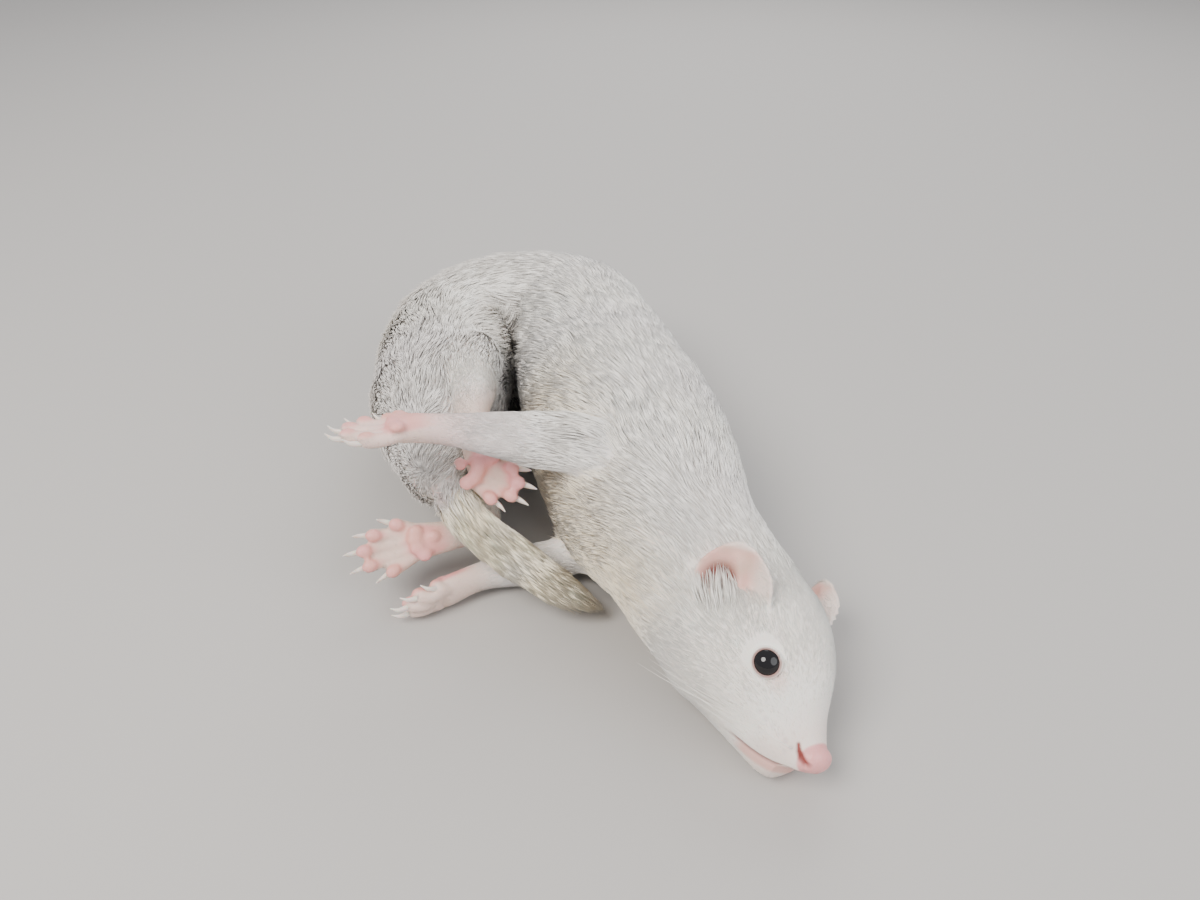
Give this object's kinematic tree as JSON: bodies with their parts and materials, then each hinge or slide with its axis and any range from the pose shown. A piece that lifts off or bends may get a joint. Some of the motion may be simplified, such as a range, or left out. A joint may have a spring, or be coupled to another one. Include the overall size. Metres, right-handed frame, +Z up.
{
  "type": "ferret",
  "caption": "Life-size still ferret with pale fur, curled on its side on the floor with its feet drawn up, its tail round in front and its muzzle towards the viewer",
  "frame": {"origin": "middle of the bounding box's bottom face, on the floor that the animal rests on", "axes": "Z up; Y away from the viewer, along the animal's longer way; X to the right as the picture shows it"},
  "size_m": [0.1538, 0.2293, 0.0694],
  "materials": {
    "fur": "soft cream-white coat",
    "tail_fur": "soft yellowish coat",
    "skin": "bare or thinly furred pink skin",
    "nose_skin": "moist pink skin",
    "eye_gloss": "wet black"
  },
  "bodies": {
    "root": {"head": "fur", "neck": "fur", "chest": "fur", "waist": "fur", "loin": "fur", "hips": "fur", "foreleg_right": "fur", "foreleg_left": "fur", "hindleg_right": "fur", "hindleg_left": "fur", "tail_base": "tail_fur", "tail_tip": "tail_fur", "forefoot_right": "skin", "forefoot_left": "skin", "hindfoot_right": "skin", "hindfoot_left": "skin", "ear_right": "skin", "ear_left": "skin", "nose": "nose_skin", "eye_right": "eye_gloss", "eye_left": "eye_gloss"}
  },
  "joints": []
}
